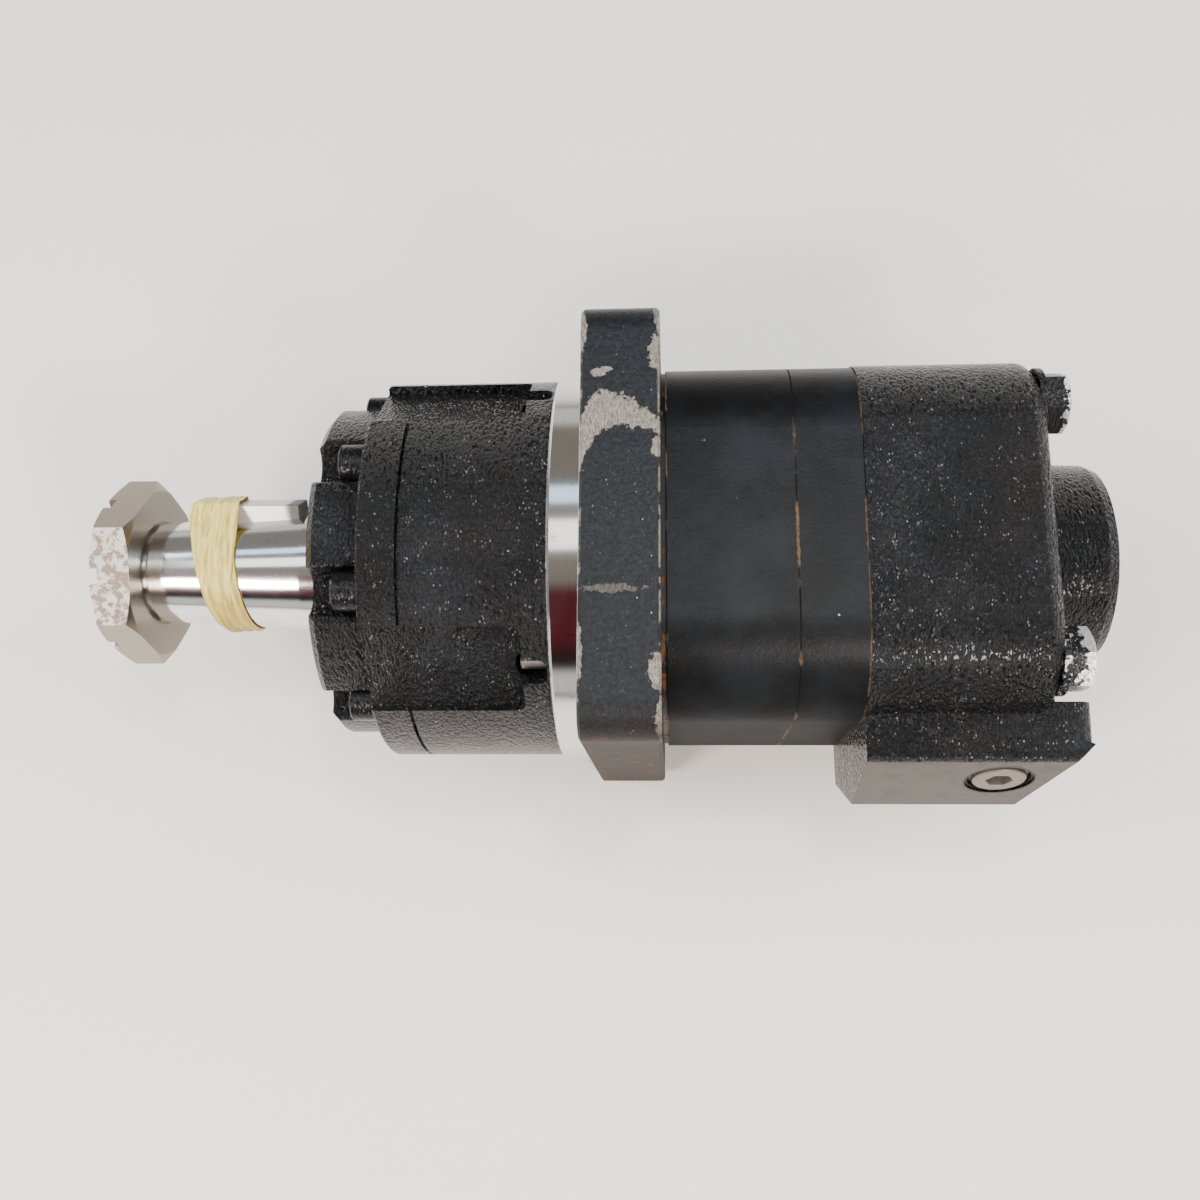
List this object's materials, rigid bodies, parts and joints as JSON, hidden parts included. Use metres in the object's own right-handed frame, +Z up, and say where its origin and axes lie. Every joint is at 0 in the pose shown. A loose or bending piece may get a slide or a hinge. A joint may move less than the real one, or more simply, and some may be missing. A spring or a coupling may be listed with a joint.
{
  "type": "hydraulic motor",
  "caption": "Flange-mounted orbital hydraulic motor with tapered keyed shaft, slotted nut, lobed front retainer, square mounting flange and side port block.",
  "frame": {"origin": "on the shaft axis at the front face of the mounting flange, where the pilot meets it", "axes": "+X along the shaft axis from the shaft end to the rear, +Z up with the part lying on the flange's lower edge face, -Y towards the port block"},
  "size_m": [0.3587, 0.1589, 0.145],
  "materials": {
    "housing_paint": "semi-gloss black paint over cast iron, chipped edges",
    "retainer_paint": "glossy black paint over cast iron",
    "ring_paint": "semi-gloss black paint over ground steel",
    "plate_paint": "semi-gloss black paint over ground iron",
    "valve_paint": "glossy black paint over cast iron, bare taupe port faces",
    "wear_steel": "dark steel with light rust",
    "screw_steel": "black painted alloy steel",
    "bolt_steel": "black painted steel, chipped",
    "shaft_steel": "ground and polished steel",
    "nut_steel": "machined steel with rust pitting",
    "key_steel": "drawn bright steel",
    "tape_film": "wrinkled translucent pale yellow film",
    "bearing_steel": "ground bearing steel",
    "cage_steel": "pressed steel",
    "washer_steel": "turned steel",
    "roller_steel": "ground steel",
    "rotor_steel": "ground steel",
    "link_steel": "carburised steel",
    "spacer_steel": "turned steel",
    "valve_iron": "lapped iron",
    "balance_iron": "lapped iron",
    "spring_steel": "spring wire",
    "pin_steel": "hardened pins",
    "pocket_pin_steel": "dull grey steel",
    "lip_rubber": "black nitrile",
    "wiper_rubber": "black nitrile",
    "o_ring_rubber": "black nitrile",
    "plug_steel": "plated steel"
  },
  "bodies": {
    "housing": {"bearing_housing": "housing_paint", "front_retainer": "retainer_paint", "retainer_screws": "screw_steel", "front_bearing_cup": "bearing_steel", "rear_bearing_cup": "bearing_steel", "shaft_seal": "lip_rubber", "exclusion_seal": "wiper_rubber", "backup_washer": "washer_steel", "retainer_o_ring": "o_ring_rubber", "wear_plate": "wear_steel", "geroler_ring": "ring_paint", "housing_o_ring": "o_ring_rubber", "front_ring_o_ring": "o_ring_rubber", "rear_ring_o_ring": "o_ring_rubber", "valve_o_ring": "o_ring_rubber", "valve_plate": "plate_paint", "balance_ring": "balance_iron", "balance_springs": "spring_steel", "balance_pins": "pin_steel", "valve_housing": "valve_paint", "rear_bolts": "bolt_steel", "bolt_washers": "bolt_steel", "pocket_pins": "pocket_pin_steel", "port_plug": "plug_steel"},
    "shaft": {"output_shaft": "shaft_steel", "shaft_key": "key_steel", "shaft_nut": "nut_steel", "key_tape": "tape_film", "front_bearing_cone": "bearing_steel", "rear_bearing_cone": "bearing_steel"},
    "front_roller_set": {"front_bearing_rollers": "bearing_steel", "front_bearing_cage": "cage_steel"},
    "rear_roller_set": {"rear_bearing_rollers": "bearing_steel", "rear_bearing_cage": "cage_steel"},
    "spacer_body": {"drive_spacer": "spacer_steel"},
    "rotor_body": {"rotor": "rotor_steel"},
    "link_body": {"drive_link": "link_steel"},
    "valve_drive_body": {"valve_drive": "link_steel"},
    "valve_body": {"disc_valve": "valve_iron"},
    "roller_body_1": {"roller_1": "roller_steel"},
    "roller_body_2": {"roller_2": "roller_steel"},
    "roller_body_3": {"roller_3": "roller_steel"},
    "roller_body_4": {"roller_4": "roller_steel"},
    "roller_body_5": {"roller_5": "roller_steel"},
    "roller_body_6": {"roller_6": "roller_steel"},
    "roller_body_7": {"roller_7": "roller_steel"}
  },
  "joints": [
    {"name": "shaft_spin", "type": "hinge", "parent": "housing", "child": "shaft", "pos_m": [0, 0, 0], "axis": [1, 0, 0], "continuous": true},
    {"name": "front_bearing_roll", "type": "hinge", "parent": "housing", "child": "front_roller_set", "pos_m": [-0.043, 0, 0], "axis": [1, 0, 0], "continuous": true},
    {"name": "rear_bearing_roll", "type": "hinge", "parent": "housing", "child": "rear_roller_set", "pos_m": [-0.002, 0, 0], "axis": [1, 0, 0], "continuous": true},
    {"name": "orbit", "type": "hinge", "parent": "housing", "child": "spacer_body", "pos_m": [0.0518, 0, 0], "axis": [1, 0, 0], "continuous": true},
    {"name": "rotor_spin", "type": "hinge", "parent": "spacer_body", "child": "rotor_body", "pos_m": [0.0483, 0, 0.0032], "axis": [1, 0, 0], "continuous": true},
    {"name": "link_spin", "type": "hinge", "parent": "spacer_body", "child": "link_body", "pos_m": [-0.038, 0, 0], "axis": [0.9992, 0, 0.0405], "continuous": true},
    {"name": "valve_drive_spin", "type": "hinge", "parent": "spacer_body", "child": "valve_drive_body", "pos_m": [0.1, 0, 0], "axis": [0.9968, 0, -0.0797], "continuous": true},
    {"name": "valve_spin", "type": "hinge", "parent": "housing", "child": "valve_body", "pos_m": [0.098, 0, 0], "axis": [1, 0, 0], "continuous": true},
    {"name": "roller_1_roll", "type": "hinge", "parent": "housing", "child": "roller_body_1", "pos_m": [0.0483, 0, 0.039], "axis": [1, 0, 0], "continuous": true},
    {"name": "roller_2_roll", "type": "hinge", "parent": "housing", "child": "roller_body_2", "pos_m": [0.0483, 0.03049, 0.02432], "axis": [1, 0, 0], "continuous": true},
    {"name": "roller_3_roll", "type": "hinge", "parent": "housing", "child": "roller_body_3", "pos_m": [0.0483, 0.03802, -0.00868], "axis": [1, 0, 0], "continuous": true},
    {"name": "roller_4_roll", "type": "hinge", "parent": "housing", "child": "roller_body_4", "pos_m": [0.0483, 0.01692, -0.03514], "axis": [1, 0, 0], "continuous": true},
    {"name": "roller_5_roll", "type": "hinge", "parent": "housing", "child": "roller_body_5", "pos_m": [0.0483, -0.01692, -0.03514], "axis": [1, 0, 0], "continuous": true},
    {"name": "roller_6_roll", "type": "hinge", "parent": "housing", "child": "roller_body_6", "pos_m": [0.0483, -0.03802, -0.00868], "axis": [1, 0, 0], "continuous": true},
    {"name": "roller_7_roll", "type": "hinge", "parent": "housing", "child": "roller_body_7", "pos_m": [0.0483, -0.03049, 0.02432], "axis": [1, 0, 0], "continuous": true}
  ],
  "couplings": [
    {"joint": "front_bearing_roll", "follows": "shaft_spin", "ratio": 0.4409},
    {"joint": "rear_bearing_roll", "follows": "shaft_spin", "ratio": 0.4388},
    {"joint": "orbit", "follows": "shaft_spin", "ratio": -6},
    {"joint": "rotor_spin", "follows": "shaft_spin", "ratio": 7},
    {"joint": "link_spin", "follows": "shaft_spin", "ratio": 7},
    {"joint": "valve_drive_spin", "follows": "shaft_spin", "ratio": 7},
    {"joint": "valve_spin", "follows": "shaft_spin", "ratio": 1},
    {"joint": "roller_1_roll", "follows": "shaft_spin", "ratio": -3.3},
    {"joint": "roller_2_roll", "follows": "shaft_spin", "ratio": -3.3},
    {"joint": "roller_3_roll", "follows": "shaft_spin", "ratio": -3.3},
    {"joint": "roller_4_roll", "follows": "shaft_spin", "ratio": -3.3},
    {"joint": "roller_5_roll", "follows": "shaft_spin", "ratio": -3.3},
    {"joint": "roller_6_roll", "follows": "shaft_spin", "ratio": -3.3},
    {"joint": "roller_7_roll", "follows": "shaft_spin", "ratio": -3.3}
  ]
}
